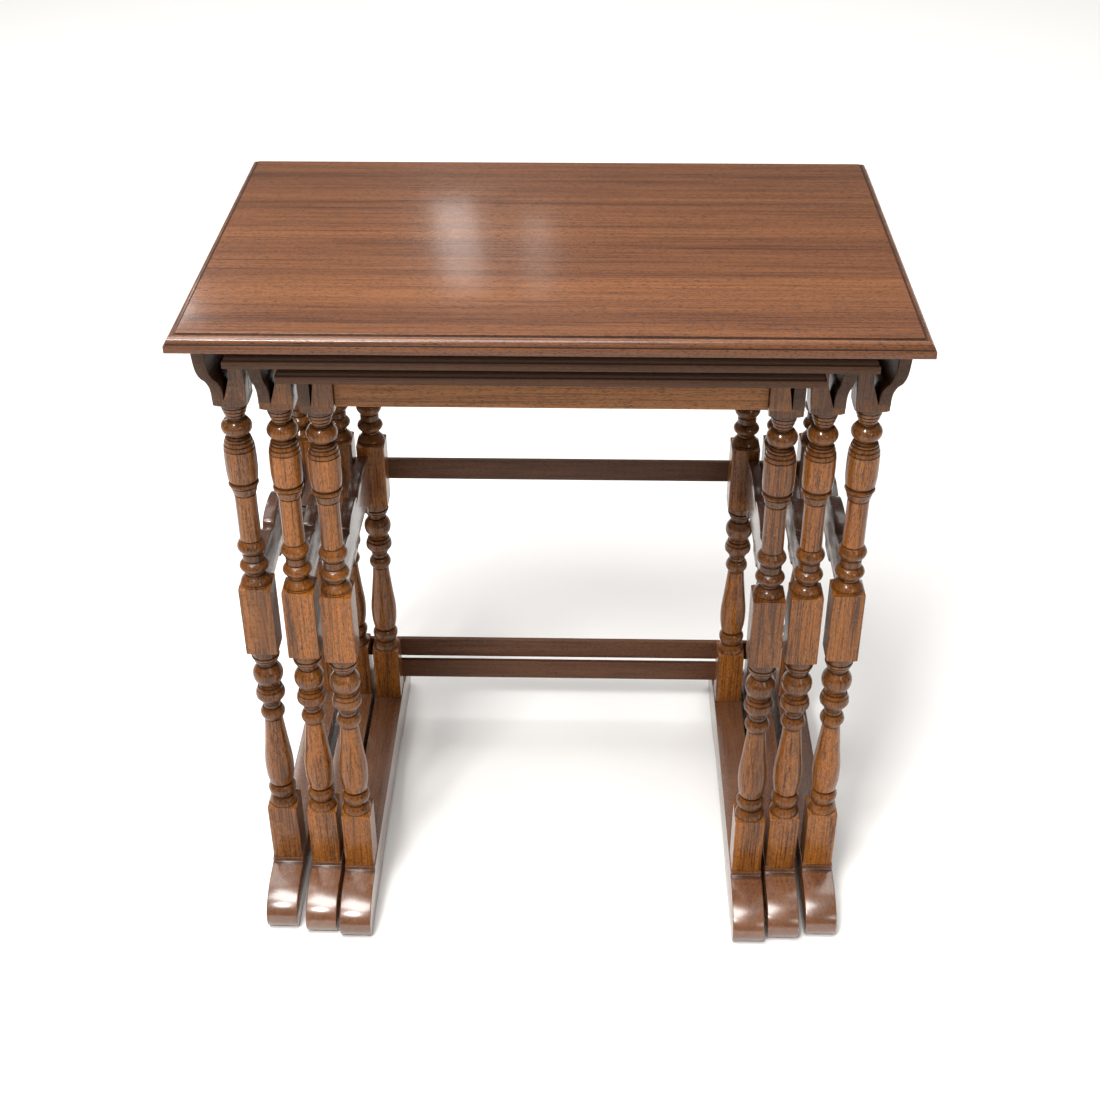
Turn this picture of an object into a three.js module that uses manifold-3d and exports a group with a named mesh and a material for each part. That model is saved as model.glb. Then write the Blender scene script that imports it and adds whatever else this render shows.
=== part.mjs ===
// A nest of three tables on turned legs. Each table is two end frames (two turned legs on a
// runner foot, tied by a shaped stretcher and a side apron), a slat across the back and a
// moulded top. The three frames have the same depth and the same turned legs; each smaller
// table is narrower, its top lies just under the next one and it slides in from the front.
// Millimetres, +Z up, the floor at z = 0, the front of the nest towards -Y.
import * as THREE from 'three';
import { mergeVertices } from 'three/addons/utils/BufferGeometryUtils.js';
import Module from 'manifold-3d';

// ---- driving sizes -------------------------------------------------------------------------
const TOP_WIDTH = 560;          // outer table's top, left to right
const TOP_DEPTH = 368;          // outer table's top, front to back
const TOP_SHORTER = 19;         // each smaller table's top, less deep than the last
const HEIGHT = 605;             // outer table, floor to top surface
const TOP_THICK = 13.5;
const TOP_GAP = 1;              // air between one top and the next one under it
const LEG_SQUARE = 27;          // the square blank that a leg is turned from
const LEG_SPREAD = 249;         // front leg axis to rear leg axis
const SIDE_OVERHANG = { outer: 32, middle: 29, inner: 24 };   // leg axis to the end of the top
const RUNNER_WIDTH = LEG_SQUARE + 1.5;
const RUNNER_HEIGHT = 42;
const RUNNER_LENGTH = 382;
const BASE_BLOCK = 61.5;        // square block that stands on the runner
const MID_BLOCK = 68;           // square block that takes the stretcher
const LOWER_SHARE = 0.5057;     // lower turning's share of the turned length
const INNER_FRIEZE = 40;        // inner table, capital's foot to the underside of its top
const RAIL_THICK = 4.5;
const RAIL_HEIGHT = 22;
const NEST_SHIFT = 1;           // the two smaller tables stand this far to the right

// ---- clearances ----------------------------------------------------------------------------
const FIT = 0.3;                // between two pieces that meet
const RAIL_CLEARANCE = 0.5;     // smaller table's rear legs to the larger table's slat
const SLIDE_PAST_LEG = 2;       // middle table's aprons to the outer table's legs
const SLIDE_UNDER_TOP = 1.5;    // larger table's capitals to the underside of the smaller top
const RUNNER_GAP = { middle: 7.5, inner: 3.5 };   // to the runner of the next larger table

// ---- joinery -------------------------------------------------------------------------------
const PEG_RADIUS = 6;           // turned peg under each leg, in the runner
const PEG_LENGTH = 14;
const TENON_THICK = 6;
const TENON_LENGTH = 8;
const HOUSING = 10;             // how far a slat laps into the back of a leg
const DOWEL_RADIUS = 3;
const DOWEL_IN_TOP = 7;
const DOWEL_IN_APRON = 11;
const DOWEL_SPREAD = 160;
const SLACK = 1;                // depth left free beyond the end of a peg or a dowel

// ---- smaller sizes of single pieces --------------------------------------------------------
const STRETCHER = { thick: 10.7, inset: 1, foot: 7, top: 3.5, tenon: 34 };
const APRON = { thick: 10.3, seat: 9.3, shoulder: 6, outerBulge: 11.8 };
const FRIEZE = { thick: 16, setback: 4, lift: 4.5, tenon: 22 };
const RAIL_LIFT = { outer: 13.5, middle: 35.5, inner: 11 };   // above the foot of its leg block
const CAPITAL_SHOULDER_TOP = 0.5;   // rebate wall from the leg axis at the capital's head
const ARCH_RISE = 8;            // hollow under a runner
const SIDES = 10;               // facets of a turned part

// ---- worked out ----------------------------------------------------------------------------
const HALF = LEG_SQUARE / 2;
const STEP = RAIL_THICK + RAIL_CLEARANCE;      // each smaller table stands this much forward
const stack = 3 * TOP_THICK + 2 * TOP_GAP;
const capitalFoot = HEIGHT - stack - INNER_FRIEZE;
const blockFoot = RUNNER_HEIGHT + FIT;
const turnedLength = capitalFoot - RUNNER_HEIGHT - BASE_BLOCK - MID_BLOCK;
const lowerFoot = RUNNER_HEIGHT + BASE_BLOCK;
const midFoot = lowerFoot + LOWER_SHARE * turnedLength;
const midHead = midFoot + MID_BLOCK;
const legFace = LEG_SPREAD / 2 + HALF;         // outer face of the legs, from the frame's middle

const topFoot = (level) => HEIGHT - TOP_THICK - level * (TOP_THICK + TOP_GAP);
const legX = { outer: TOP_WIDTH / 2 - SIDE_OVERHANG.outer };
legX.middle = legX.outer - RUNNER_WIDTH - RUNNER_GAP.middle;
legX.inner = legX.middle - RUNNER_WIDTH - RUNNER_GAP.inner;

// the outer face of each table's side aprons, from the leg axis
const bulgeOf = {
  outer: HALF + APRON.outerBulge,
  middle: legX.outer - HALF - SLIDE_PAST_LEG - NEST_SHIFT - legX.middle,
  inner: HALF,
};

const tables = ['outer', 'middle', 'inner'].map((name, level) => ({
  name, level,
  legX: legX[name],
  halfWidth: legX[name] + SIDE_OVERHANG[name],
  halfDepth: (TOP_DEPTH - level * TOP_SHORTER) / 2,
  underside: topFoot(level),
  capitalHead: name === 'inner' ? topFoot(level) - FIT : topFoot(level + 1) - SLIDE_UNDER_TOP,
  shiftX: level === 0 ? 0 : NEST_SHIFT,
  shiftY: (1 - level) * STEP,
}));

// ---- solids --------------------------------------------------------------------------------
const wasm = await Module();
wasm.setup();

function solid(geometry) {
  const bare = geometry.index ? geometry.toNonIndexed() : geometry.clone();
  bare.deleteAttribute('normal');
  bare.deleteAttribute('uv');
  const merged = mergeVertices(bare, 1e-4);
  return new wasm.Manifold(new wasm.Mesh({
    numProp: 3,
    vertProperties: new Float32Array(merged.attributes.position.array),
    triVerts: new Uint32Array(merged.index.array),
  }));
}

function geometryOf(body) {
  const mesh = body.getMesh();
  const geometry = new THREE.BufferGeometry();
  geometry.setAttribute('position', new THREE.BufferAttribute(mesh.vertProperties, 3));
  geometry.setIndex(new THREE.BufferAttribute(mesh.triVerts, 1));
  const flat = geometry.toNonIndexed();
  flat.computeVertexNormals();
  return flat;
}

function box(x, y, z) {
  const geometry = new THREE.BoxGeometry(x[1] - x[0], y[1] - y[0], z[1] - z[0]);
  geometry.translate((x[0] + x[1]) / 2, (y[0] + y[1]) / 2, (z[0] + z[1]) / 2);
  return solid(geometry);
}

// Pulls an outline of [across, up] points along X or along Y.
function pulled(points, from, to, axis) {
  const shape = new THREE.Shape(points.map(([a, b]) => new THREE.Vector2(a, b)));
  const geometry = new THREE.ExtrudeGeometry(shape, { depth: to - from, bevelEnabled: false });
  const [X, Y, Z] = [new THREE.Vector3(1, 0, 0), new THREE.Vector3(0, 1, 0), new THREE.Vector3(0, 0, 1)];
  const turn = new THREE.Matrix4();
  if (axis === 'x') turn.makeBasis(Y, Z, X).setPosition(from, 0, 0);
  else turn.makeBasis(X, Z, Y.clone().negate()).setPosition(0, to, 0);
  return solid(geometry.applyMatrix4(turn));
}

// Turns [radius, height] points about the Z axis through (x, y).
function turned(points, x = 0, y = 0, sides = SIDES) {
  const closed = [[0, points[0][1]], ...points, [0, points.at(-1)[1]]];
  const geometry = new THREE.LatheGeometry(closed.map(([r, z]) => new THREE.Vector2(r, z)), sides);
  return solid(geometry.rotateX(Math.PI / 2).translate(x, y, 0));
}

// Points of a quarter or longer stretch of an ellipse, angles in degrees.
function arc(cx, cz, rx, rz, from, to, steps) {
  return Array.from({ length: steps + 1 }, (_, i) => {
    const angle = THREE.MathUtils.degToRad(from + ((to - from) * i) / steps);
    return [cx + rx * Math.cos(angle), cz + rz * Math.sin(angle)];
  });
}

// ---- turned profiles -----------------------------------------------------------------------
// A turning is a list of stretches, each [length, radius, radius, ...] with its radii spread
// evenly from foot to head. Lengths are shares of the list's own total, radii are in
// millimetres on a 27 mm blank.
const LOWER_TURNING = [
  [8.5, 13, 10.2], [14, 10.2, 12.4, 10.4], [76.5, 10.4, 12.7, 11.7, 9.5, 8], [12, 8, 10.6, 7.8],
  [4.5, 7.8], [21, 7.8, 12.8, 9.4], [3, 9.4], [20, 9.2, 13.1, 8.5], [3, 8.5], [19, 8.5, 11.9, 12.9],
];
const UPPER_TURNING = [
  [9.5, 13.2, 11.8, 8.2], [15, 8.2, 12.1, 9.2], [7, 9.2], [12.5, 9.2, 12, 9], [45, 9, 8.9],
  [14, 8.9, 12.2], [30, 12.2, 12.9, 12.6], [9, 12.6, 8.3], [15.5, 8.3, 12.3, 7], [16.5, 7, 9.3, 11.4],
];
const BLANK = 27;

function turning(list, foot, head) {
  const total = list.reduce((sum, [length]) => sum + length, 0);
  const points = [];
  let z = foot;
  for (const [length, ...radii] of list) {
    const height = ((head - foot) * length) / total;
    radii.forEach((r, i) => {
      const up = radii.length > 1 ? i / (radii.length - 1) : 0;
      points.push([(r * LEG_SQUARE) / BLANK, z + height * up]);
    });
    z += height;
  }
  // two stretches that meet on one radius share the point
  const apart = ([r, h], [r2, h2]) => Math.hypot(r - r2, h - h2) > 0.3;
  return points.filter((point, i) => i === 0 || apart(point, points[i - 1]));
}

// ---- the pieces of one table ---------------------------------------------------------------
// side: -1 left, +1 right. end: -1 front, +1 rear. Legs are made about their own axis.
function leg(table, side, end) {
  const core = [
    [PEG_RADIUS, RUNNER_HEIGHT - PEG_LENGTH], [PEG_RADIUS, blockFoot + SLACK],
    ...turning(LOWER_TURNING, lowerFoot, midFoot),
    ...turning(UPPER_TURNING, midHead, capitalFoot),
    [HALF * 0.9, capitalFoot + SLACK],
  ];
  const square = [-HALF, HALF];
  let body = turned(core)
    .add(box(square, square, [blockFoot, lowerFoot]))
    .add(box(square, square, [midFoot, midHead]))
    .add(pulled(capitalOutline(table, side), -HALF, HALF, 'y'));
  const inner = (from, to) => [-side * from, -side * to].sort((a, b) => a - b);
  // mortise for the stretcher, in the face that looks at the other leg
  const board = stretcherSpan(side);
  const middle = (board[0] + board[1]) / 2;
  const [low, high] = stretcherTenon();
  body = body.subtract(box(
    [middle - TENON_THICK / 2 - FIT, middle + TENON_THICK / 2 + FIT],
    end < 0 ? [HALF - TENON_LENGTH - FIT, HALF + FIT] : [-HALF - FIT, TENON_LENGTH + FIT - HALF],
    [low - FIT, high + FIT],
  ));
  if (end > 0) {
    const [foot, head] = railSpan(table);
    body = body.subtract(box(inner(HALF - HOUSING - FIT, HALF + FIT),
      [HALF - RAIL_THICK - FIT, HALF + FIT], [foot - FIT, head + FIT]));
  }
  if (table.name === 'inner') {
    const [foot, head] = friezeTenon(table);
    const y = end * (HALF - FRIEZE.setback - FRIEZE.thick / 2);
    body = body.subtract(box(inner(HALF - TENON_LENGTH - FIT, HALF + FIT),
      [y - TENON_THICK / 2 - FIT, y + TENON_THICK / 2 + FIT], [foot - FIT, head + FIT]));
  }
  return body;
}

// The leg's head: a square block with a rebate on its outer side for the side apron.
function capitalOutline(table, side) {
  const wall = HALF - APRON.seat;
  const shoulder = capitalFoot + APRON.shoulder;
  const points = [
    [-HALF, capitalFoot], [HALF, capitalFoot], [HALF, shoulder], [wall - FIT, shoulder],
    [CAPITAL_SHOULDER_TOP, table.capitalHead], [-HALF, table.capitalHead],
  ];
  return points.map(([x, z]) => [side * x, z]);
}

function runner() {
  const half = RUNNER_LENGTH / 2;
  const ledge = legFace + 1.5;
  const lip = ledge + 4;
  const noseDepth = half - lip;
  const widest = 12;
  const archHalf = LEG_SPREAD / 2 - 26;
  const end = [
    [ledge, RUNNER_HEIGHT], [ledge, RUNNER_HEIGHT - 4],
    ...arc(lip, widest, noseDepth, RUNNER_HEIGHT - 4.5 - widest, 90, 0, 5),
    ...arc(half - 11, widest, 11, widest, -30, -90, 2),
    [archHalf, 0], [archHalf - 16, ARCH_RISE * 0.55], [archHalf - 44, ARCH_RISE],
  ];
  const other = end.map(([y, z]) => [-y, z]).reverse();
  let body = pulled([...end, ...other], -RUNNER_WIDTH / 2, RUNNER_WIDTH / 2, 'x');
  for (const y of [-LEG_SPREAD / 2, LEG_SPREAD / 2]) {
    const bore = PEG_RADIUS + FIT;
    const hole = [[bore, RUNNER_HEIGHT - PEG_LENGTH - SLACK], [bore, RUNNER_HEIGHT + SLACK]];
    body = body.subtract(turned(hole, 0, y));
  }
  return body;
}

// Left to right place of the stretcher from the leg axis: near the outer face of the legs.
function stretcherSpan(side) {
  const out = HALF - STRETCHER.inset;
  return [side * out, side * (out - STRETCHER.thick)].sort((a, b) => a - b);
}

function stretcherTenon() {
  const middle = (midFoot + midHead) / 2;
  return [middle - STRETCHER.tenon / 2, middle + STRETCHER.tenon / 2];
}

function stretcher(side) {
  const end = LEG_SPREAD / 2 - HALF - FIT;
  const top = midHead - STRETCHER.top;
  const foot = midFoot + STRETCHER.foot;
  const waist = foot + 22;
  const ear = 27;                        // from the table's middle to the foot of the raised ear
  const half = [
    [0, top + 0.5], ...arc(13, top - 8.5, 11, 9, 90, 0, 3), [ear - 3, top - 10], [ear + 1, top - 10],
    ...arc(ear + 27, top - 14, 24, 14, 150, 90, 3), [end, top],
    [end, foot], [end - 16, foot], ...arc(end - 16, foot + 9, 12, 9, -120, -180, 2),
    [end - 32, foot + 16], [end - 52, waist - 2], [end * 0.3, waist], [8, waist - 1], [0, waist - 6],
  ];
  const other = half.slice(1, -1).map(([y, z]) => [-y, z]).reverse();
  const [low, high] = stretcherTenon();
  const span = stretcherSpan(side);
  const middle = (span[0] + span[1]) / 2;
  const tenons = box(
    [middle - TENON_THICK / 2, middle + TENON_THICK / 2],
    [FIT - end - TENON_LENGTH, end + TENON_LENGTH - FIT],
    [low, high],
  );
  return pulled([...half, ...other], span[0], span[1], 'x').add(tenons);
}

// Side apron: an S-shaped board on the outer and middle tables, a straight one on the inner.
function sideApron(table, side) {
  const foot = capitalFoot + APRON.shoulder + FIT;
  const head = table.underside - FIT;
  const seat = HALF - APRON.seat;
  const bulge = bulgeOf[table.name];
  const out = (share) => HALF + (bulge - HALF) * share;
  const face = bulge > HALF
    ? [[out(0), foot], [out(0), foot + 6], [out(0.09), foot + 11], [out(0.32), foot + 15.5],
      [out(0.6), foot + 18.5], [out(0.8), foot + 22.5], [out(0.92), foot + 28.5], [out(1), foot + 38]]
    : [[out(0), foot]];
  const back = face.map(([x, z]) => [x - HALF + seat - (APRON.thick - APRON.seat) * (x - HALF)
    / Math.max(bulge - HALF, 1), z + (x > HALF ? 0.5 : 0)]).reverse();
  const points = [...face, [bulge, head], [bulge - Math.max(APRON.thick, APRON.seat), head], ...back];
  let body = pulled(points.map(([x, z]) => [side * x, z]), -legFace, legFace, 'y');
  for (const y of [-1, 1]) body = body.subtract(dowelHole(table, side, y));
  return body;
}

function dowelPlace(table, side, end) {
  const bulge = bulgeOf[table.name];
  return [side * (bulge - APRON.thick / 2), (end * DOWEL_SPREAD) / 2];
}

function dowelHole(table, side, end, x = 0) {
  const [dx, y] = dowelPlace(table, side, end);
  const foot = table.underside - DOWEL_IN_APRON - SLACK;
  const head = table.underside + DOWEL_IN_TOP + SLACK;
  return turned([[DOWEL_RADIUS + FIT, foot], [DOWEL_RADIUS + FIT, head]], x + dx, y, 8);
}

function dowel(table) {
  const foot = table.underside - DOWEL_IN_APRON;
  const head = table.underside + DOWEL_IN_TOP;
  return turned([[DOWEL_RADIUS, foot], [DOWEL_RADIUS, head]], 0, 0, 8);
}

// Slat across the back, let into the backs of the rear legs.
function railSpan(table) {
  const block = table.name === 'outer' ? midFoot : RUNNER_HEIGHT;
  const foot = block + RAIL_LIFT[table.name];
  return [foot, foot + RAIL_HEIGHT];
}

function rail(table) {
  const end = table.legX - HALF + HOUSING;
  return box([-end, end], [legFace - RAIL_THICK, legFace], railSpan(table));
}

// Frieze rail of the inner table, between its capitals, front and back.
function friezeTenon(table) {
  const foot = capitalFoot + FRIEZE.lift;
  const middle = (foot + table.underside - FIT) / 2;
  return [middle - FRIEZE.tenon / 2, middle + FRIEZE.tenon / 2];
}

function frieze(table, end) {
  const y = end * (legFace - FRIEZE.setback - FRIEZE.thick / 2);
  const inside = table.legX - HALF - FIT;
  const tenon = inside + TENON_LENGTH;
  return box([-inside, inside], [y - FRIEZE.thick / 2, y + FRIEZE.thick / 2],
    [capitalFoot + FRIEZE.lift, table.underside - FIT])
    .add(box([-tenon, tenon], [y - TENON_THICK / 2, y + TENON_THICK / 2], friezeTenon(table)));
}

// The top: the same edge moulding all round, mitred at the corners.
function mouldedEdge(half, foot) {
  const head = foot + TOP_THICK;
  const lower = TOP_THICK - 7.2;         // plain square edge under the moulding
  const edge = [
    [half, foot], [half, foot + lower], [half - 1.2, foot + lower], [half - 1.2, foot + lower + 1],
    ...arc(half - 7, foot + lower + 1, 5.8, 5, 30, 90, 2), [half - 8.3, head - 1.2], [half - 8.3, head],
  ];
  return [...edge, ...edge.map(([a, b]) => [-a, b]).reverse()];
}

function top(table) {
  const { halfWidth, halfDepth, underside } = table;
  const across = pulled(mouldedEdge(halfWidth, underside), -halfDepth, halfDepth, 'y');
  const along = pulled(mouldedEdge(halfDepth, underside), -halfWidth, halfWidth, 'x');
  let body = across.intersect(along);
  for (const side of [-1, 1]) {
    for (const end of [-1, 1]) body = body.subtract(dowelHole(table, side, end, side * table.legX));
  }
  return body;
}

// ---- finishes and assembly -----------------------------------------------------------------
const finishes = {
  top: [0x6b3524, 0.35], leg: [0x7d4a2a, 0.4], dark: [0x4a2a20, 0.45],
  foot: [0x6a3b28, 0.3], dowel: [0xc9a878, 0.8],
};

function piece(name, body, finish, position = [0, 0, 0]) {
  const [color, roughness] = finishes[finish];
  const material = new THREE.MeshStandardMaterial({ color, roughness, metalness: 0 });
  const mesh = new THREE.Mesh(geometryOf(body), material);
  mesh.name = name;
  mesh.position.set(...position);
  return mesh;
}

const sides = [['left', -1], ['right', 1]];
const ends = [['front', -1], ['rear', 1]];

function buildTable(table) {
  const group = new THREE.Group();
  const { name } = table;
  const add = (part, body, finish, position) => group.add(piece(`${name}_${part}`, body, finish, position));
  add('top', top(table), 'top');
  add('rear_rail', rail(table), 'dark');
  for (const [sideName, side] of sides) {
    const x = side * table.legX;
    add(`runner_${sideName}`, runner(), 'foot', [x, 0, 0]);
    add(`stretcher_${sideName}`, stretcher(side), 'dark', [x, 0, 0]);
    add(`apron_${sideName}`, sideApron(table, side), 'leg', [x, 0, 0]);
    for (const [endName, end] of ends) {
      add(`leg_${endName}_${sideName}`, leg(table, side, end), 'leg', [x, (end * LEG_SPREAD) / 2, 0]);
      const [dx, y] = dowelPlace(table, side, end);
      add(`dowel_${endName}_${sideName}`, dowel(table), 'dowel', [x + dx, y, 0]);
    }
  }
  if (name === 'inner') {
    for (const [endName, end] of ends) add(`frieze_${endName}`, frieze(table, end), 'leg');
  }
  group.position.set(table.shiftX, table.shiftY, 0);
  return group;
}

const nest = new THREE.Group();
for (const table of tables) nest.add(buildTable(table));

export default nest;
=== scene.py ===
# %% [markdown]
# # A nest of three tables
# Three side tables stand one inside the other. Each is built from the same turned legs, runner
# feet and shaped stretchers, and only the width and the height of the top change. The packed
# solids give every place and size, and this script gives the same pieces their fine shapes
# (turned beads, moulded edges, S-shaped aprons) and their stained, waxed wood.

import math

import bpy
import numpy as np
from mathutils import Matrix, Vector
from mathutils.geometry import tessellate_polygon


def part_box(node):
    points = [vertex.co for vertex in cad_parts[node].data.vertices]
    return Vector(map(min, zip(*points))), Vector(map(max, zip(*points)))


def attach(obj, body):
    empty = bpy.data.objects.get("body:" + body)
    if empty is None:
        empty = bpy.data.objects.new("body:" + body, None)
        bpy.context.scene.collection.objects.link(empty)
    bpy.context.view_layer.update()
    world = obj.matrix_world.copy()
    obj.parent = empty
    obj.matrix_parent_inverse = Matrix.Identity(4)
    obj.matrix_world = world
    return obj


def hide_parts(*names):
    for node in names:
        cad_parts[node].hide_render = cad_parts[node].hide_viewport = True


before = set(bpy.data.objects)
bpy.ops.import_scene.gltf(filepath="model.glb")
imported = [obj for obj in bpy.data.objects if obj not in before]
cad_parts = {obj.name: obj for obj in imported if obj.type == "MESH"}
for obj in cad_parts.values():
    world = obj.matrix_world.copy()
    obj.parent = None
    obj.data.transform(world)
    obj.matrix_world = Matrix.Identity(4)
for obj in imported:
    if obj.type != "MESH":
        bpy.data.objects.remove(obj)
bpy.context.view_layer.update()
MM = 0.001
TABLES = ("outer", "middle", "inner")
SIDES = (("left", -1), ("right", 1))
ENDS = (("front", -1), ("rear", 1))
draw = np.random.default_rng(11)

# %% [markdown]
# ## Reading places from the solids
# A leg's square blocks give its axis, and the blocks' heights are the same on all the tables.
# Reading them here keeps the fine pieces on the solids if a size is changed.


# %% Boxes of the solids
def span(node, axis):
    low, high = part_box(node)
    return low["xyz".index(axis)], high["xyz".index(axis)]


def middle(node, axis):
    low, high = span(node, axis)
    return (low + high) / 2


LEG_SQUARE = span("outer_leg_front_left", "x")[1] - span("outer_leg_front_left", "x")[0]
HALF = LEG_SQUARE / 2
RUNNER_HEIGHT = span("outer_runner_left", "z")[1]
BLOCK_FOOT = RUNNER_HEIGHT + 0.3 * MM
LOWER_FOOT, MID_FOOT, MID_HEAD = 103.5 * MM, 281.0 * MM, 349.0 * MM
CAPITAL_FOOT = span("outer_apron_left", "z")[0] - 6.3 * MM
CAPITAL_REBATE = 6 * MM
print("legs", round(LEG_SQUARE / MM, 1), "mm square, heads start at", round(CAPITAL_FOOT / MM, 1), "mm")

# %% [markdown]
# ## Parts and pieces
# A part is one closed skin of points. Each part keeps its own wood coordinates: the first runs
# along its grain, the other two across it, shifted by a random amount so that no two boards
# show the same figure. A second value says how dark its grooves and corners are painted:
# partly old polish and dirt, partly painted shade.
# A piece is a mesh of several parts, tied to its table.


# %% Skins, boards and pieces
def part(points, faces, grain, dirt_and_shade=None):
    points = np.asarray(points, float)
    first = "xyz".index(grain)
    wood = points[:, [first, (first + 1) % 3, (first + 2) % 3]] + draw.uniform(-3, 3, 3)
    dirt_and_shade = np.zeros(len(points)) if dirt_and_shade is None else dirt_and_shade
    return {"points": points, "faces": faces, "wood": wood, "dirt_and_shade": dirt_and_shade}


def skin(loops, cap=None):
    """Joins equal loops into one closed skin; cap is the list of faces that closes the first loop."""
    count = len(loops[0])
    cap = cap or [tuple(range(count))]
    faces = []
    for k in range(len(loops) - 1):
        a, b = k * count, (k + 1) * count
        faces += [(a + i, a + (i + 1) % count, b + (i + 1) % count, b + i) for i in range(count)]
    last = (len(loops) - 1) * count
    faces += [tuple(reversed(face)) for face in cap]
    faces += [tuple(last + i for i in face) for face in cap]
    return np.concatenate(loops), faces


def inward(flat):
    """For each corner of a counter-clockwise outline, the step that moves both its sides in by one."""
    before = flat - np.roll(flat, 1, axis=0)
    after = np.roll(flat, -1, axis=0) - flat
    normals = []
    for edge in (before, after):
        normals.append(np.stack([-edge[:, 1], edge[:, 0]], 1) / np.linalg.norm(edge, axis=1)[:, None])
    spread = 1 + np.sum(normals[0] * normals[1], axis=1)
    return (normals[0] + normals[1]) / np.maximum(spread, 0.4)[:, None]


def board(outline, axis, start, end, grain, round_over=0.7 * MM, steps=3, dirt_and_shade=0.0):
    """Pulls an outline along an axis and rounds over the edges at both ends."""
    flat = np.array(outline, float)
    dirt_and_shade = np.full(len(flat), dirt_and_shade) if np.isscalar(dirt_and_shade) else np.array(dirt_and_shade)
    if axis == "y":
        flat = flat[:, ::-1]
    following = np.roll(flat, -1, axis=0)
    if np.sum(flat[:, 0] * following[:, 1] - following[:, 0] * flat[:, 1]) < 0:
        flat, dirt_and_shade = flat[::-1], dirt_and_shade[::-1]
    move = inward(flat)
    first = "xyz".index(axis)

    def loop(inset, along):
        points = np.zeros((len(flat), 3))
        points[:, first] = along
        points[:, [(first + 1) % 3, (first + 2) % 3]] = flat + move * inset
        return points

    turn = np.linspace(0, math.pi / 2, steps + 1)
    edge = [(round_over * (1 - math.sin(a)), round_over * (1 - math.cos(a))) for a in turn]
    loops = [loop(inset, start + depth) for inset, depth in edge]
    loops += [loop(inset, end - depth) for inset, depth in reversed(edge)]
    outline_3d = [Vector((a, b, 0)) for a, b in flat]
    cap = [tuple(face) for face in tessellate_polygon([outline_3d])]
    u, v, w = (flat[i] for i in cap[0])
    if (v[0] - u[0]) * (w[1] - u[1]) - (v[1] - u[1]) * (w[0] - u[0]) < 0:
        cap = [face[::-1] for face in cap]
    return part(*skin(loops, cap), grain, np.tile(dirt_and_shade, len(loops)))


def rounded_box(x, y, z, grain, radius=0.8 * MM):
    corners = [(y[1], z[0]), (y[1], z[1]), (y[0], z[1]), (y[0], z[0])]
    outline = []
    for (a, b), turn in zip(corners, (-90, 0, 90, 180)):
        ca = a - radius * (1 if a == y[1] else -1)
        cb = b - radius * (1 if b == z[1] else -1)
        for step in (0, 30, 60, 90):
            angle = math.radians(turn + step)
            outline.append((ca + radius * math.cos(angle), cb + radius * math.sin(angle)))
    return board(outline, "x", x[0], x[1], grain, round_over=radius)


def piece(name, parts, material, body, nodes, smooth=33):
    starts = np.cumsum([0] + [len(p["points"]) for p in parts[:-1]])
    mesh = bpy.data.meshes.new(name)
    faces = [tuple(i + s for i in f) for p, s in zip(parts, starts.tolist()) for f in p["faces"]]
    mesh.from_pydata(np.concatenate([p["points"] for p in parts]).tolist(), [], faces)
    wood = mesh.attributes.new("wood", "FLOAT_VECTOR", "POINT")
    wood.data.foreach_set("vector", np.concatenate([p["wood"] for p in parts]).ravel())
    dirt_and_shade = mesh.attributes.new("dirt_and_shade", "FLOAT", "POINT")
    dirt_and_shade.data.foreach_set("value", np.concatenate([p["dirt_and_shade"] for p in parts]))
    mesh.polygons.foreach_set("use_smooth", [True] * len(mesh.polygons))
    mesh.set_sharp_from_angle(angle=math.radians(smooth))
    mesh.materials.append(material)
    made = bpy.data.objects.new(name, mesh)
    bpy.context.scene.collection.objects.link(made)
    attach(made, body)
    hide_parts(*nodes)
    return made


def smooth_line(knots, steps):
    """A soft curve through the knots: each stretch bends with its neighbours."""
    knots = np.array(knots, float)
    padded = np.concatenate([2 * knots[:1] - knots[1:2], knots, 2 * knots[-1:] - knots[-2:-1]])
    out = []
    for k in range(1, len(padded) - 2):
        a, b, c, d = padded[k - 1 : k + 3]
        for t in np.arange(steps) / steps:
            square = (2 * a - 5 * b + 4 * c - d) * t**2
            cube = (3 * b - a - 3 * c + d) * t**3
            out.append(0.5 * (2 * b + (c - a) * t + square + cube))
    return np.array(out + [knots[-1]])


def arc(ca, cb, ra, rb, start, end, steps):
    turns = np.radians(np.linspace(start, end, steps + 1))
    return [(ca + ra * math.cos(t), cb + rb * math.sin(t)) for t in turns]


# %% [markdown]
# ## Stained wood
# The tables are a plain reddish hardwood, stained dark and polished. Its figure has three
# layers: slow changes of colour across a board, dark streaks along the grain and short fine
# pores. All three are noise stretched many times along the grain coordinate. One group makes
# them, so that every finish below shares it and changes only colours and strengths.


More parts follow.
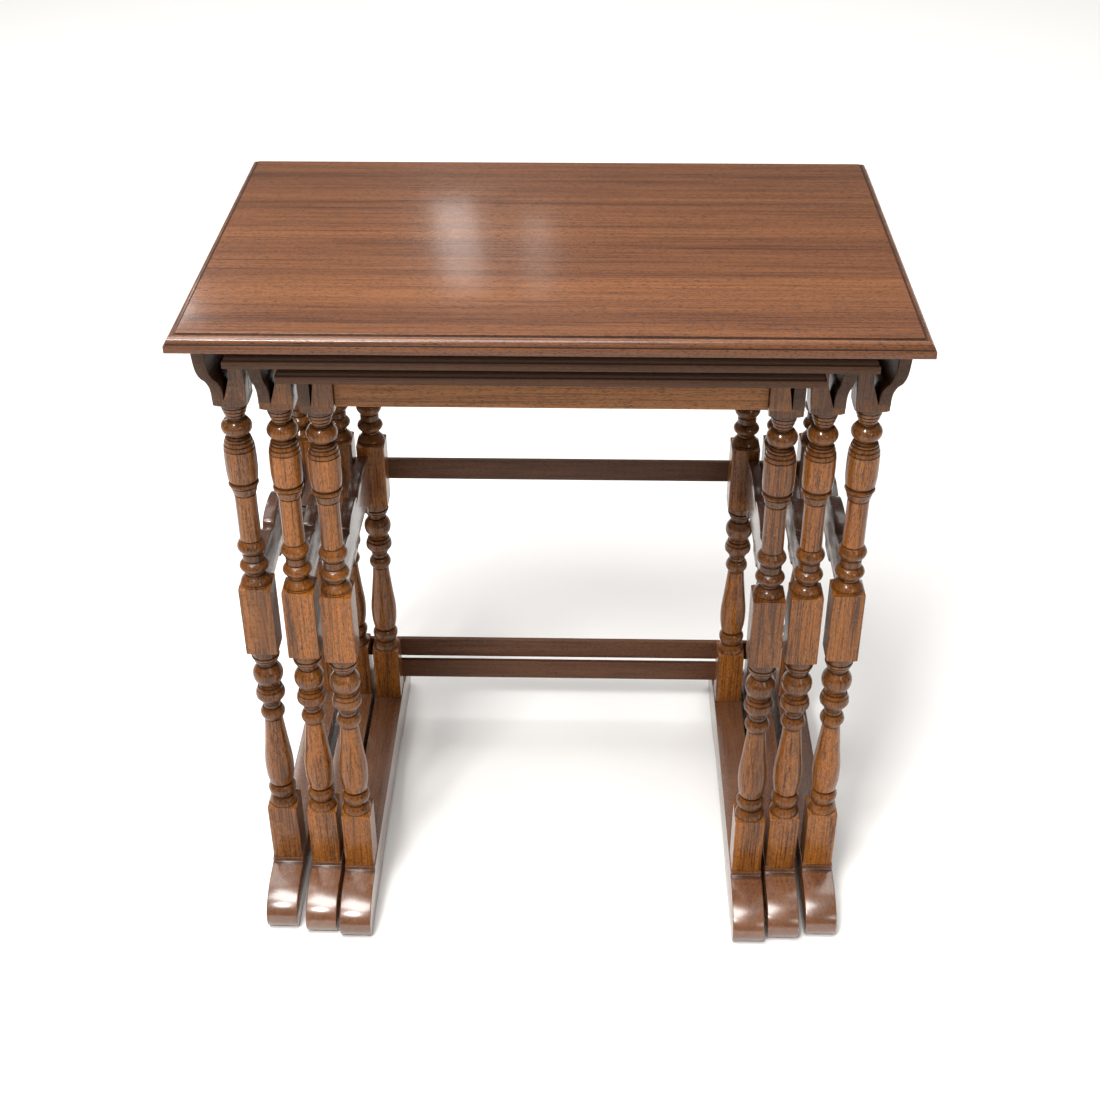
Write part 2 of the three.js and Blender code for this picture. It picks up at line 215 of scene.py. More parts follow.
# %% Helpers for node trees
class Graph:
    def __init__(self, tree):
        self.tree = tree

    def add(self, kind, inputs=None, **settings):
        made = self.tree.nodes.new(kind)
        for key, value in settings.items():
            setattr(made, key, value)
        for key, value in (inputs or {}).items():
            if isinstance(value, bpy.types.NodeSocket):
                self.tree.links.new(value, made.inputs[key])
            else:
                made.inputs[key].default_value = value
        return made

    def math(self, operation, a, b=0.0, clamp=False):
        return self.add("ShaderNodeMath", {0: a, 1: b}, operation=operation, use_clamp=clamp).outputs[0]

    def spread(self, value, low, high, to_low=0.0, to_high=1.0):
        inputs = {"Value": value, "From Min": low, "From Max": high, "To Min": to_low, "To Max": to_high}
        return self.add("ShaderNodeMapRange", inputs, clamp=True).outputs["Result"]

    def noise(self, vector, scale, stretch, detail=3.0, roughness=0.5, distortion=0.0):
        """Noise with its own stretch along the three coordinates."""
        stretched = self.add("ShaderNodeVectorMath", {0: vector, 1: stretch}, operation="MULTIPLY")
        inputs = {"Vector": stretched.outputs[0], "Scale": scale, "Detail": detail}
        inputs |= {"Roughness": roughness, "Distortion": distortion}
        return self.add("ShaderNodeTexNoise", inputs).outputs["Fac"]

    def mix(self, factor, a, b, blend="MIX"):
        inputs = {0: factor, 6: a, 7: b}
        return self.add("ShaderNodeMix", inputs, data_type="RGBA", blend_type=blend).outputs[2]


def new_group(name, ins, outs):
    tree = bpy.data.node_groups.new(name, "ShaderNodeTree")
    for label, kind in ins:
        tree.interface.new_socket(label, in_out="INPUT", socket_type=f"NodeSocket{kind}")
    for label, kind in outs:
        tree.interface.new_socket(label, in_out="OUTPUT", socket_type=f"NodeSocket{kind}")
    graph = Graph(tree)
    return graph, graph.add("NodeGroupInput").outputs, graph.add("NodeGroupOutput").inputs


# %% The wood's figure
ins = [("Wood", "Vector"), ("Light", "Color"), ("Dark", "Color")]
ins += [("Streaks", "Float"), ("Pores", "Float"), ("Long", "Float")]
g, given, out = new_group("stained wood figure", ins, [("Color", "Color"), ("Height", "Float")])
along = g.math("DIVIDE", 1.0, given["Long"])
shorter = g.add("ShaderNodeCombineXYZ", {0: along, 1: 1.0, 2: 1.0}).outputs[0]
grain = g.add("ShaderNodeVectorMath", {0: given["Wood"], 1: shorter}, operation="MULTIPLY").outputs[0]
slow = g.noise(grain, 1.0, (1.6, 19.0, 19.0), detail=2.0, distortion=0.4)
flame = g.noise(grain, 1.0, (3.2, 75.0, 75.0), detail=3.0, distortion=0.5)
streak = g.noise(grain, 1.0, (18.0, 620.0, 620.0), detail=4.0, roughness=0.66)
pore = g.spread(g.noise(given["Wood"], 1.0, (300.0, 2000.0, 2000.0), detail=1.0), 0.54, 0.68)
broad = g.spread(slow, 0.3, 0.7)
dark_line = g.math("MULTIPLY", g.spread(streak, 0.46, 0.68), given["Streaks"])
flames = g.math("MULTIPLY", g.spread(flame, 0.32, 0.72), 0.4)
body_tone = g.math("ADD", g.math("MULTIPLY", broad, 0.45), flames)
tone = g.math("ADD", body_tone, dark_line, clamp=True)
stained = g.mix(tone, given["Light"], given["Dark"])
pore_mask = g.math("MULTIPLY", pore, given["Pores"])
g.tree.links.new(g.mix(pore_mask, stained, (0.018, 0.008, 0.005, 1)), out["Color"])
g.tree.links.new(g.math("SUBTRACT", g.math("MULTIPLY", streak, 0.35), pore_mask), out["Height"])

# %% [markdown]
# ## Old polish
# Grooves of a turning and other hollows are darkened by the mesh's dirt-and-shade value: partly
# wax and old staining gathered there, partly painted shade in the hollows and under the tops.
# Beads and corners are rubbed pale by hands and dusters. The polish itself is uneven, so its
# roughness drifts over a few centimetres. This group takes the figure's colour and the
# dirt-and-shade value of the mesh.

# %% Grooves, rubbed spots and an uneven shine
ins = [("Wood", "Vector"), ("Base", "Color"), ("Dirt And Shade", "Float"), ("Shine", "Float"), ("Wear", "Float")]
g, given, out = new_group("old polish", ins, [("Color", "Color"), ("Roughness", "Float")])
cloud = g.noise(given["Wood"], 1.0, (11.0, 22.0, 22.0), detail=1.0)
crumbs = g.noise(given["Wood"], 1.0, (240.0, 240.0, 240.0), detail=3.0, roughness=0.7)
dirt_and_shade_mask = g.math("MULTIPLY", given["Dirt And Shade"], g.spread(crumbs, 0.25, 0.6, 0.7, 1.0), clamp=True)
# The dark colour that the mask lays on: dirt in the grooves together with painted shade.
grooved = g.mix(dirt_and_shade_mask, given["Base"], (0.022, 0.009, 0.005, 1))
worn_spots = g.math("ADD", crumbs, g.math("MULTIPLY", cloud, 0.6))
rubbed = g.math("MULTIPLY", g.spread(worn_spots, 0.86, 1.02), given["Wear"])
g.tree.links.new(g.mix(rubbed, grooved, (0.42, 0.25, 0.15, 1)), out["Color"])
uneven = g.math("ADD", given["Shine"], g.spread(cloud, 0.2, 0.8, -0.04, 0.05))
g.tree.links.new(g.math("ADD", uneven, g.math("MULTIPLY", dirt_and_shade_mask, 0.08)), out["Roughness"])


# %% [markdown]
# ## Finishes
# Every finish is the same three steps: figure, old polish, then a thin clear coat over it. The
# tops are the reddest and smoothest, the legs a warmer brown with open pores, the slats at the
# back plain and dark, and the runner feet have the thickest polish.


# %% One function for every finish
def finish(
    name, light, dark, streaks=0.5, pores=0.6, shine=0.32, wear=0.0,
    bump=0.25, long=1.0, coat=0.25, coat_rough=0.2, coat_ior=1.5,
):
    """Colours and strengths of one finish. Long stretches the figure along the grain."""
    material = bpy.data.materials.new(name)
    material.use_nodes = True
    material.node_tree.nodes.clear()
    g = Graph(material.node_tree)
    wood = g.add("ShaderNodeAttribute", attribute_name="wood").outputs["Vector"]
    dirt_and_shade = g.add("ShaderNodeAttribute", attribute_name="dirt_and_shade").outputs["Fac"]
    figure = g.add("ShaderNodeGroup", {
        "Wood": wood, "Light": (*light, 1), "Dark": (*dark, 1),
        "Streaks": streaks, "Pores": pores, "Long": long,
    }, node_tree=bpy.data.node_groups["stained wood figure"])
    polish = g.add("ShaderNodeGroup", {
        "Wood": wood, "Base": figure.outputs["Color"], "Dirt And Shade": dirt_and_shade, "Shine": shine, "Wear": wear,
    }, node_tree=bpy.data.node_groups["old polish"])
    height = figure.outputs["Height"]
    raised = g.add("ShaderNodeBump", {"Height": height, "Strength": bump, "Distance": 0.4 * MM})
    surface = g.add("ShaderNodeBsdfPrincipled", {
        "Base Color": polish.outputs["Color"], "Roughness": polish.outputs["Roughness"],
        "Normal": raised.outputs[0], "IOR": 1.42, "Specular IOR Level": 0.2,
        "Coat Weight": coat, "Coat Roughness": coat_rough, "Coat IOR": coat_ior,
    })
    g.add("ShaderNodeOutputMaterial", {"Surface": surface.outputs[0]})
    return material


wood_top = finish(
    "polished_top", (0.195, 0.074, 0.028), (0.056, 0.019, 0.009),
    streaks=0.6, pores=0.8, shine=0.30, coat=0.4, coat_rough=0.14, long=2.2,
)
# A darker, duller copy of the top's finish for the edges of the smaller tops: painted shade.
shaded_edge_finish = finish(
    "shaded_top", (0.085, 0.037, 0.015), (0.036, 0.014, 0.006),
    streaks=0.6, shine=0.42, coat=0.1, long=2.2,
)
wood_leg = finish(
    "turned_leg", (0.36, 0.118, 0.014), (0.060, 0.020, 0.005),
    streaks=0.7, pores=0.9, shine=0.32, wear=0.12, coat=0.4, coat_rough=0.09,
)
wood_apron = finish(
    "apron", (0.125, 0.060, 0.029), (0.055, 0.025, 0.013), streaks=0.6, shine=0.34, wear=0.1, coat=0.15
)
wood_rail = finish(
    "dark_rail", (0.150, 0.066, 0.033), (0.068, 0.029, 0.016), streaks=0.5, shine=0.42, coat=0.05
)
wood_tie = finish(
    "polished_tie", (0.120, 0.052, 0.028), (0.055, 0.023, 0.014),
    streaks=0.5, shine=0.17, wear=0.05, coat=0.8,
)
# The frieze rails are much lighter than the aprons: painted light that makes up for the shade of the top
# above them.
frieze_with_painted_light = finish(
    "frieze", (0.38, 0.158, 0.052), (0.165, 0.063, 0.022),
    streaks=0.7, shine=0.38, wear=0.05, coat=0.05, long=2.0,
)
wood_foot = finish(
    "runner_foot", (0.20, 0.080, 0.033), (0.078, 0.029, 0.013),
    streaks=0.45, shine=0.24, wear=0.1, coat=0.9, coat_rough=0.22, coat_ior=1.8,
)
beech = finish("raw_beech", (0.66, 0.50, 0.32), (0.50, 0.35, 0.20), streaks=0.3, shine=0.7, coat=0.0)
print(len(bpy.data.materials), "finishes")

# %% [markdown]
# ## Turned legs
# A turner starts from a square blank, leaves three blocks square and cuts everything between
# them round. The rule is short: at each height the wood is the square blank or the round cut,
# whichever is smaller. The turning is written as the turner reads it, as beads, coves, necks
# and long vases from foot to head, each with its radii spread evenly over its length.

# %% The turner's pattern, lengths and radii in millimetres
LOWER_TURNING = [
    (8.5, 13.1, 12.6, 11.6, 10.1), (14, 9.8, 11.7, 12.45, 12.2, 10.2), (2, 9.4, 10.2),
    (74, 10.9, 12.3, 12.75, 12.5, 11.5, 10.5, 9.6, 8.7, 8.0), (12.5, 8.6, 10.2, 10.8, 10.2, 8.6),
    (4.3, 7.5), (2.2, 8.2), (2.6, 9.2, 9.8), (10.2, 10.9, 12.5, 12.9, 12.7, 12.0), (3.6, 11.5, 10.6),
    (3, 9.4, 8.6), (20.5, 9.4, 12.3, 13.2, 12.3, 9.0), (2, 8.0), (2.4, 9.2), (3.0, 10.4, 11.0),
    (3.2, 11.7, 12.2), (7.7, 11.4, 12.0),
]
UPPER_TURNING = [
    (2, 13.2, 12.9), (7.3, 12.7, 11.9, 9.9, 8.4), (2.6, 7.9), (11.4, 9.2, 11.4, 12.3, 11.4, 9.2),
    (7.5, 8.9), (12.8, 9.4, 11.3, 12.2, 11.3, 9.4), (44, 9.0, 8.85, 8.9),
    (8, 8.9, 9.9, 10.3, 11.1), (4, 11.6, 12.4, 12.0), (1.8, 10.7), (29, 12.1, 12.8, 12.95, 12.95, 12.7),
    (4, 12.6, 12.2), (3.5, 11.7, 11.2), (2.5, 10.4), (2, 9.2, 8.2), (14, 8.4, 11.3, 12.4, 11.9, 9.6),
    (2.2, 6.8), (3.2, 7.6, 8.0), (3.4, 8.8, 9.2), (3.6, 9.9, 10.3), (4.6, 10.9, 11.3),
]
CORNER = HALF * math.sqrt(2) - 0.45 * MM  # the blank's corners, slightly broken
QUIRK_DEEP, QUIRK_WIDE = 1.15 * MM, 1.2 * MM
FACET = 1.7 * MM  # height of one step of a curve
DARKEN_SHORT_AND_HEAD, DARKEN_FILLET = 0.42, 0.6  # darker value given to short stretches and to fillets; the heads take the first as painted shade
SHORT = 22  # a stretch below this length counts as short


def turning(pattern, foot, head):
    """The cut line of a pattern, with a small sharp quirk wherever one stretch meets the next."""
    unit = (head - foot) / sum(length for length, *_ in pattern)
    line, z = [], foot
    for length, *radii in pattern:
        tall = length * unit - QUIRK_WIDE
        # Each quirk takes the full dark value: dirt in the cut and painted shade.
        line.append((min(radii[0] * MM, line[-1][0] if line else HALF) - QUIRK_DEEP, z, 1.0))
        z += QUIRK_WIDE / 2
        if len(radii) == 1:
            line += [(radii[0] * MM, z + up * tall, DARKEN_FILLET) for up in (0.05, 0.95)]
        else:
            knots = [(r * MM, z + tall * k / (len(radii) - 1)) for k, r in enumerate(radii)]
            steps = max(1, round(tall / FACET / (len(radii) - 1))) if len(radii) > 2 else 1
            shade = DARKEN_SHORT_AND_HEAD if length < SHORT else 0.0
            line += [(r, h, shade) for r, h in smooth_line(knots, steps)]
        z += tall + QUIRK_WIDE / 2
    return line


def pommel(z, way, tall=0.9):
    """The shoulder between a square block and the round; way is +1 if the round lies above."""
    cut = [(CORNER, 1.0), (18.0 * MM, 0.73), (16.6 * MM, 0.42), (14.6 * MM, 0.15), (13.4 * MM, 0.04)]
    steps = [(r, z - way * down * tall * MM, 0.0) for r, down in cut]
    return steps if way > 0 else steps[::-1]


# The lowest points of the leg, where it stands on the runner, take a dark value of 0.6.
profile = [(CORNER - 0.6 * MM, BLOCK_FOOT, 0.6), (CORNER, BLOCK_FOOT + 0.6 * MM, 0.0)]
profile += pommel(LOWER_FOOT, 1) + turning(LOWER_TURNING, LOWER_FOOT, MID_FOOT) + pommel(MID_FOOT, -1)
profile += pommel(MID_HEAD, 1) + turning(UPPER_TURNING, MID_HEAD, CAPITAL_FOOT)
profile += pommel(CAPITAL_FOOT, -1, 1.3)
profile += [(CORNER, CAPITAL_FOOT + CAPITAL_REBATE, 0.0)]
profile = np.array(profile)

# Grooves are darkened where the cut is deeper than the wood a few millimetres above and below
# it: partly dirt settled in them, partly painted shade. The last rings under the head are painted
# darker, as painted shade under the top.
WINDOW = 23  # samples, each a quarter of a millimetre
even = np.arange(BLOCK_FOOT, CAPITAL_FOOT + CAPITAL_REBATE, 0.25 * MM)
depth = np.interp(even, profile[:, 1], np.minimum(profile[:, 0], HALF))
around = np.convolve(np.pad(depth, WINDOW // 2, mode="edge"), np.ones(WINDOW) / WINDOW, mode="valid")
sunk = np.interp(profile[:, 1], even, around) - np.minimum(profile[:, 0], HALF)
groove = np.clip(sunk / (0.9 * MM), 0, 1)
# Painted shade: the rings just under the head darken towards the head, as if the top shaded them.
shade_under_top = 0.7 * np.clip((profile[:, 1] - CAPITAL_FOOT + 16 * MM) / (12 * MM), 0, 1)
groove = np.maximum(groove, np.maximum(shade_under_top, profile[:, 2]))
print(len(profile), "points in the turning")

# %% [markdown]
# The lathe is a small Geometry Nodes tree. It takes the profile as a line up the leg's axis,
# sweeps a circle along it with the cut's radius, then presses every point that sticks out of
# the blank back onto the blank's flat faces. The same leg is then set at the four corners of
# a table's frame, which is why the spread is an input of the tree.

# %% The lathe as Geometry Nodes
lathe = bpy.data.node_groups.new("turned legs", "GeometryNodeTree")
ins = [("Line", "Geometry"), ("Blank Half", "Float"), ("Spread X", "Float"), ("Spread Y", "Float")]
for label, kind in ins + [("Finish", "Material")]:
    lathe.interface.new_socket(label, in_out="INPUT", socket_type=f"NodeSocket{kind}")
lathe.interface.new_socket("Legs", in_out="OUTPUT", socket_type="NodeSocketGeometry")
SEGMENTS = 72
g = Graph(lathe)
given = g.add("NodeGroupInput").outputs
axis_line = g.add("GeometryNodeMeshToCurve", {"Mesh": given["Line"]}).outputs["Curve"]
radius = g.add("GeometryNodeInputNamedAttribute", {"Name": "radius"}, data_type="FLOAT")
sized = g.add("GeometryNodeSetCurveRadius", {"Curve": axis_line, "Radius": radius.outputs["Attribute"]})
circle = g.add("GeometryNodeCurvePrimitiveCircle", {"Resolution": SEGMENTS, "Radius": 1.0})
sweep = g.add("GeometryNodeCurveToMesh", {
    "Curve": sized.outputs["Curve"], "Profile Curve": circle.outputs["Curve"], "Fill Caps": True,
})
if "Scale" in sweep.inputs:
    lathe.links.new(g.add("GeometryNodeInputRadius").outputs[0], sweep.inputs["Scale"])
place = g.add("ShaderNodeSeparateXYZ", {0: g.add("GeometryNodeInputPosition").outputs[0]}).outputs
furthest = g.math("MAXIMUM", g.math("ABSOLUTE", place["X"]), g.math("ABSOLUTE", place["Y"]))
press = g.math("MINIMUM", g.math("DIVIDE", given["Blank Half"], g.math("MAXIMUM", furthest, 1e-6)), 1.0)
pressed = g.add("ShaderNodeCombineXYZ", {
    "X": g.math("MULTIPLY", place["X"], press),
    "Y": g.math("MULTIPLY", place["Y"], press),
    "Z": place["Z"],
}).outputs[0]
turned_mesh = {"Geometry": sweep.outputs["Mesh"], "Position": pressed}
leg = g.add("GeometryNodeSetPosition", turned_mesh).outputs[0]
corners = g.add("GeometryNodeMeshGrid", {
    "Size X": given["Spread X"], "Size Y": given["Spread Y"], "Vertices X": 2, "Vertices Y": 2,
}).outputs["Mesh"]
four = g.add("GeometryNodeInstanceOnPoints", {"Points": corners, "Instance": leg}).outputs[0]
real = g.add("GeometryNodeRealizeInstances", {"Geometry": four}).outputs[0]
finished = g.add("GeometryNodeSetMaterial", {"Geometry": real, "Material": given["Finish"]}).outputs[0]
g.add("NodeGroupOutput", {"Legs": finished})


def four_legs(spread_x, spread_y, centre):
    """Runs the lathe tree and returns one part for each leg."""
    line = bpy.data.meshes.new("axis_line")
    steps = [(k, k + 1) for k in range(len(profile) - 1)]
    line.from_pydata([(0, 0, z) for z in profile[:, 1]], steps, [])
    for label, values in (("radius", profile[:, 0]), ("dirt_and_shade", groove)):
        line.attributes.new(label, "FLOAT", "POINT").data.foreach_set("value", values)
    holder = bpy.data.objects.new("axis_line", line)
    bpy.context.scene.collection.objects.link(holder)
    turned = holder.modifiers.new("lathe", "NODES")
    turned.node_group = lathe
    values = {"Blank Half": HALF, "Spread X": spread_x, "Spread Y": spread_y, "Finish": wood_leg}
    for socket in lathe.interface.items_tree:
        if socket.in_out == "INPUT" and socket.name in values:
            turned[socket.identifier] = values[socket.name]
    ready = holder.evaluated_get(bpy.context.evaluated_depsgraph_get())
    baked = bpy.data.meshes.new_from_object(ready)
    bpy.data.objects.remove(holder)
    points = np.zeros(len(baked.vertices) * 3)
    baked.vertices.foreach_get("co", points)
    dirt_and_shade = np.zeros(len(baked.vertices))
    baked.attributes["dirt_and_shade"].data.foreach_get("value", dirt_and_shade)
    points = points.reshape(-1, 3) + np.array(centre)
    each = len(points) // 4
    groups = [[], [], [], []]
    for face in baked.polygons:
        corner = face.vertices[0] // each
        groups[corner].append(tuple(i - corner * each for i in face.vertices))
    bpy.data.meshes.remove(baked)
    legs = []
    for k, faces in enumerate(groups):
        own = slice(k * each, (k + 1) * each)
        legs.append(part(points[own], faces, "z", dirt_and_shade[own]))
    return legs


# %% [markdown]
# ## Heads of the legs
# Above the last turning each leg is square again. The outer half of this head is cut away for
# the side apron, and the cut slopes inwards, which leaves the dark wedge that is seen between
# the head and the S-shaped board.


# %% A head, cut back on its outer side
def head(table, side, x, y):
    low = CAPITAL_FOOT + CAPITAL_REBATE - 0.2 * MM
    high = span(f"{table}_leg_front_left", "z")[1]
    wall, slope = (3.9, -1.6) if table != "inner" else (3.9, 1.4)
    outline = [
        (-HALF, low), (HALF, low), (HALF, low + 1.0 * MM), (wall * MM, low + 1.2 * MM),
        ((wall * 0.6 + slope * 0.4) * MM, low + 8 * MM), (slope * MM, low + 20 * MM), (slope * MM, high),
        (-HALF, high),
    ]
    outline = [(x + side * a, b) for a, b in outline]
    # The head is darkened with the short-stretch value as painted shade from the top above it.
    return board(outline, "y", y - HALF, y + HALF, "z", round_over=0.4 * MM, dirt_and_shade=DARKEN_SHORT_AND_HEAD)


# %% [markdown]
# ## Side aprons
# The outer table's side aprons are an S-shaped moulding: flat below, swelling out under the
# top. The middle table has the same moulding with less swell, because it has to pass between
# the outer legs, and the inner table has a plain board.


# %% The S-shaped board
def apron(table, side, x):
    node = f"{table}_apron_{'left' if side < 0 else 'right'}"
    low, high = span(node, "z")
    far = max(abs(edge - x) for edge in span(node, "x"))
    y0, y1 = span(node, "y")
    thick, seat = 10.3 * MM, 4.2 * MM
    # Both kinds of board are darkened evenly by 0.3.
    if far <= HALF + 0.5 * MM:
        outline = [(seat, low), (far, low), (far, high), (seat, high)]
        return board([(x + side * a, b) for a, b in outline], "y", y0, y1, "y", dirt_and_shade=0.3)
    swell = [(0, 0), (5, 0.01), (10.5, 0.09), (15.3, 0.31)]
    swell += [(18.2, 0.6), (22.5, 0.8), (28.3, 0.92), (38, 1)]
    face = smooth_line([(HALF + (far - HALF) * s, low + up * MM) for up, s in swell], 5).tolist()
    rear = [(HALF + (far - HALF) * s - thick + 1.0 * MM * (1 - s), low + up * MM) for up, s in swell]
    back = smooth_line(rear, 5)
    outline = face + [(far, high), (far - thick, high)] + back[::-1].tolist()
    return board([(x + side * a, b) for a, b in outline], "y", y0, y1, "y", dirt_and_shade=0.3)


# %% [markdown]
# ## Runner feet
# Each pair of legs stands on a runner. Its ends are stepped down by a small ledge and then run
# out in a round nose that tucks in at the floor; the underside is hollowed so that it stands
# on its two ends.


# %% A runner with its two noses
def runner(table, side_name, leg_ys):
    node = f"{table}_runner_{side_name}"
    x0, x1 = span(node, "x")
    centre = middle(node, "y")
    half = span(node, "y")[1] - centre
    top = RUNNER_HEIGHT
    ledge = leg_ys[1] + HALF + 1.5 * MM - centre
    lip = ledge + 4 * MM
    widest = 13 * MM
    nose = [(ledge, top), (ledge, top - 3.6 * MM)]
    nose += [(ledge + 0.5 * MM, top - 4.1 * MM), (lip, top - 4.3 * MM)]
    nose += arc(lip, widest, half - lip, top - 4.6 * MM - widest, 88, 0, 18)
    nose += arc(half - 10 * MM, widest, 10 * MM, widest, -6, -80, 8)
    bend = leg_ys[1] - centre - 26 * MM
    hollow = [(bend, 0), (bend - 13 * MM, 4 * MM), (bend - 33 * MM, 7 * MM), (bend - 65 * MM, 8 * MM)]
    hollow = smooth_line(hollow + [(0, 8 * MM)], 5)
    side = nose + [(half - 12 * MM, 0)] + hollow.tolist()
    outline = [(centre + a, b) for a, b in side] + [(centre - a, b) for a, b in side[-2::-1]]
    # The inner corner under the ledge is darkened: dirt in the corner and painted shade.
    dirt_and_shade = [0, 0.2, 1.0, 0.5] + [0] * (len(side) - 4)
    return board(outline, "x", x0, x1, "y", round_over=0.9 * MM, dirt_and_shade=dirt_and_shade + dirt_and_shade[-2::-1])


# %% [markdown]
# ## Shaped stretchers
# A board between the square mid blocks ties the front leg to the rear one. Its upper edge rises
# to two low swells with a hump between them, and its lower edge is cut away in the middle.


# %% The stretcher's outline
def stretcher(table, side_name, leg_ys):
    x0, x1 = span(f"{table}_stretcher_{side_name}", "x")
    centre = sum(leg_ys) / 2
    end = leg_ys[1] - centre - HALF - 0.3 * MM
    foot, top = MID_FOOT + 7 * MM, MID_HEAD - 10 * MM
    swell = [(90, 5.0), (60, 7.6), (42, 6.3), (28, 2)]
    upper = smooth_line([(end, top)] + [(a * MM, top + b * MM) for a, b in swell], 6)
    hump = arc(0, top + 4.5 * MM, 27 * MM, 7.4 * MM, 8, 90, 12)
    drop = [(0, 11), (14, 12), (16.5, 17), (40, 17), (64, 15.5)]
    under = smooth_line([(a * MM, foot + b * MM) for a, b in drop], 5)
    scroll = arc(72 * MM, foot + 8 * MM, 9 * MM, 7.5 * MM, 95, 0, 6)
    scroll += [(82.5 * MM, foot + 4 * MM), (88 * MM, foot + 0.5 * MM), (end, foot)]
    half = under.tolist() + scroll + upper.tolist() + hump
    outline = half + [(-a, b) for a, b in half[-2:0:-1]]
    return board([(centre + a, b) for a, b in outline], "x", x0, x1, "y", round_over=0.8 * MM)


# %% [markdown]
# ## Tops
# Each top is a board with one moulding all round, mitred at the corners: a square lower edge,
# a small quirk, a quarter round and a thin upright step up to the surface. The moulding is a
# list of insets and heights, and each entry gives one rectangle.


# %% A moulded top
def top(table):
    node = f"{table}_top"
    (x0, x1), (y0, y1), (z0, z1) = (span(node, axis) for axis in "xyz")
    moulding = [(0.7, 0.0), (0.2, 0.2), (0.0, 0.7), (0.0, 5.6)]
    moulding += [(0.2, 6.1), (0.7, 6.3), (1.5, 6.35), (1.6, 6.9)]
    moulding += [(7.2 - a, 7.2 + b) for a, b in arc(0, 0, 5.7, 5.0, 4, 90, 10)]
    moulding += [(7.9, 12.2), (8.1, 12.3), (8.15, 13.1), (8.35, 13.4), (8.8, (z1 - z0) / MM)]
    # The quirk band and the thin step under the surface are darkened, partly dirt and partly painted shade;
    # on the smaller tops the band is wider and covers the quarter round, as painted shade from the top
    # above.
    quirk_foot, quirk_head = (6.3, 6.95) if table == "outer" else (5.9, 8.2)
    loops, dirt_and_shade = [], []
    for inset, up in moulding:
        i = inset * MM
        z = z0 + up * MM
        corners = [(x0 + i, y0 + i), (x1 - i, y0 + i), (x1 - i, y1 - i), (x0 + i, y1 - i)]
        loops.append(np.array([(x, y, z) for x, y in corners]))
        dirt_and_shade += [1.0 if quirk_foot <= up <= quirk_head or 12.1 < up < 12.4 else 0.0] * 4
    return part(*skin(loops), "x", np.array(dirt_and_shade))


# %% [markdown]
# ## Putting the tables together
# The pieces of each table ride on its own body, so the middle and inner tables can be drawn
# out to the front.

# %% Every table's pieces
for table in TABLES:
    body = f"{table}_table"
    leg_xs = [middle(f"{table}_leg_front_{s}", "x") for s, _ in SIDES]
    leg_ys = [middle(f"{table}_leg_{e}_left", "y") for e, _ in ENDS]
    centre = (sum(leg_xs) / 2, sum(leg_ys) / 2, 0)
    legs = four_legs(leg_xs[1] - leg_xs[0], leg_ys[1] - leg_ys[0], centre)
    legs += [head(table, side, x, y) for (_, side), x in zip(SIDES, leg_xs) for y in leg_ys]
    leg_nodes = [f"{table}_leg_{e}_{s}" for e, _ in ENDS for s, _ in SIDES]
    piece(f"{table}_legs", legs, wood_leg, body, leg_nodes)
    slab = piece(f"{table}_board", [top(table)], wood_top, body, [f"{table}_top"], smooth=24)
    if table != "outer":  # the edges of the smaller tops get a darker, duller finish: painted shade from the larger top above
        slab.data.materials.append(shaded_edge_finish)
        surface = span(f"{table}_top", "z")[1] - 0.3 * MM
        for face in slab.data.polygons:
            face.material_index = int(face.center.z < surface)
    for (s, side), x in zip(SIDES, leg_xs):
        side_board, foot, tie = apron(table, side, x), runner(table, s, leg_ys), stretcher(table, s, leg_ys)
        piece(f"{table}_side_{s}", [side_board], wood_apron, body, [f"{table}_apron_{s}"])
        piece(f"{table}_foot_{s}", [foot], wood_foot, body, [f"{table}_runner_{s}"])
        piece(f"{table}_tie_{s}", [tie], wood_tie, body, [f"{table}_stretcher_{s}"])
    (x0, x1), (y0, y1), tall = (span(f"{table}_rear_rail", axis) for axis in "xyz")
    slat = rounded_box((x0, x1), (y0, y1 + 0.4 * MM), tall, "x", radius=0.6 * MM)
    piece(f"{table}_slat", [slat], wood_rail, body, [f"{table}_rear_rail"])
    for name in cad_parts:
        if name.startswith(f"{table}_dowel"):
            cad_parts[name].data.materials.clear()
            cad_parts[name].data.materials.append(beech)
for e, _ in ENDS:
    node = f"inner_frieze_{e}"
    left, right = (span(f"inner_leg_front_{s}", "x") for s, _ in SIDES)
    between = (left[1] + 0.3 * MM, right[0] - 0.3 * MM)
    rail = rounded_box(between, span(node, "y"), span(node, "z"), "x")
    piece(f"inner_rail_{e}", [rail], frieze_with_painted_light, "inner_table", [node])

# %% [markdown]
# ## Floor, light and camera
# A pale floor that fills the view, soft lamps overhead, two from the front, and three narrow
# ones far behind that draw the soft bright patches on the polished top.

# %% Floor
floor_mesh = bpy.data.meshes.new("floor")
floor_mesh.from_pydata([(-12, -12, 0), (12, -12, 0), (12, 12, 0), (-12, 12, 0)], [], [(0, 1, 2, 3)])
floor = bpy.data.objects.new("floor", floor_mesh)
bpy.context.scene.collection.objects.link(floor)
paint = bpy.data.materials.new("floor_paint")
paint.use_nodes = True
shell = paint.node_tree.nodes["Principled BSDF"]
shell.inputs["Base Color"].default_value = (0.86, 0.86, 0.86, 1)
shell.inputs["Roughness"].default_value = 0.9
shell.inputs["Specular IOR Level"].default_value = 0.1
floor_mesh.materials.append(paint)

# %% Lamps and sky
world = bpy.data.worlds.new("studio")
bpy.context.scene.world = world
world.use_nodes = True
world.node_tree.nodes["Background"].inputs["Color"].default_value = (1, 0.99, 0.97, 1)
world.node_tree.nodes["Background"].inputs["Strength"].default_value = 0.12


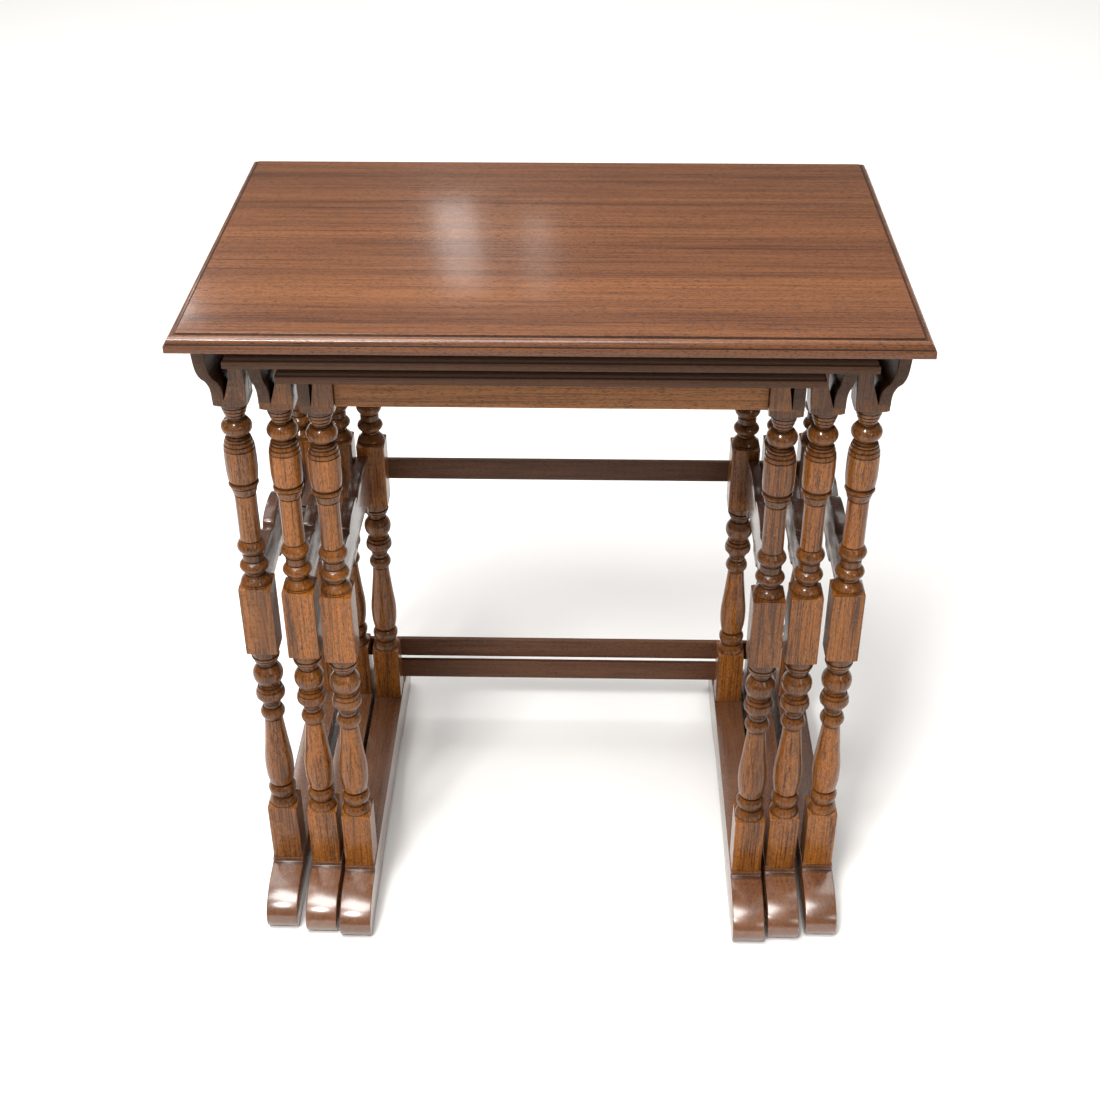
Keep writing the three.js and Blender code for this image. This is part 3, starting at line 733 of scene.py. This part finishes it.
def softbox(name, place, aim, size, watts, colour=(1, 0.98, 0.95)):
    lamp = bpy.data.lights.new(name, "AREA")
    lamp.shape = "RECTANGLE"
    lamp.size, lamp.size_y = size
    lamp.energy, lamp.color = watts, colour
    holder = bpy.data.objects.new(name, lamp)
    holder.location = place
    holder.rotation_euler = (Vector(aim) - Vector(place)).to_track_quat("-Z", "Y").to_euler()
    bpy.context.scene.collection.objects.link(holder)
    return holder


softbox("overhead", (-0.2, -0.1, 3.2), (0, 0, 0), (3.0, 3.0), 14)
softbox("front_high", (-0.5, -0.7, 2.5), (-0.1, 0, 0.2), (1.5, 1.0), 46)
softbox("overhead_back", (0, 2.6, 4.3), (0, 3.6, 0), (6.0, 4.0), 150)
softbox("front_left", (-0.85, -2.2, 2.9), (0, 0, 0.3), (0.7, 0.4), 66)
softbox("front_right", (1.6, -2.6, 1.9), (0, 0, 0.3), (0.8, 0.8), 8)
softbox("window_behind", (-0.38, 2.82, 1.84), (-0.1, 0.05, 0.6), (0.13, 0.75), 1.0)
softbox("window_right", (-0.12, 2.85, 1.95), (0.0, 0.05, 0.6), (0.09, 0.7), 0.3)
softbox("window_left", (-1.32, 2.45, 2.0), (-0.26, -0.1, 0.6), (0.12, 0.3), 1.6)

# %% Camera
# It stands a little right of the middle, above the front edge, and looks down by a third of a
# right angle. Its turn is built from its own right, up and back directions.
LENS = 52.58
STAND = (0.0285, -1.2234, 1.1215)
down, turn_left, tilt = 0.5891, 0.0264, -0.0043
level = Vector((math.cos(turn_left), math.sin(turn_left), 0))
flat_ahead = Vector((-math.sin(turn_left), math.cos(turn_left), 0))
ahead = flat_ahead * math.cos(down) - Vector((0, 0, math.sin(down)))
upright = level.cross(ahead)
right = level * math.cos(tilt) + upright * math.sin(tilt)
up = upright * math.cos(tilt) - level * math.sin(tilt)
camera_data = bpy.data.cameras.new("camera")
camera_data.lens, camera_data.sensor_width = LENS, 36
camera = bpy.data.objects.new("camera", camera_data)
turned = Matrix((right, up, -ahead)).transposed().to_4x4()
camera.matrix_world = Matrix.Translation(STAND) @ turned
bpy.context.scene.collection.objects.link(camera)
bpy.context.scene.camera = camera
bpy.context.scene.view_settings.view_transform = "Standard"
bpy.context.scene.view_settings.exposure = 0.40
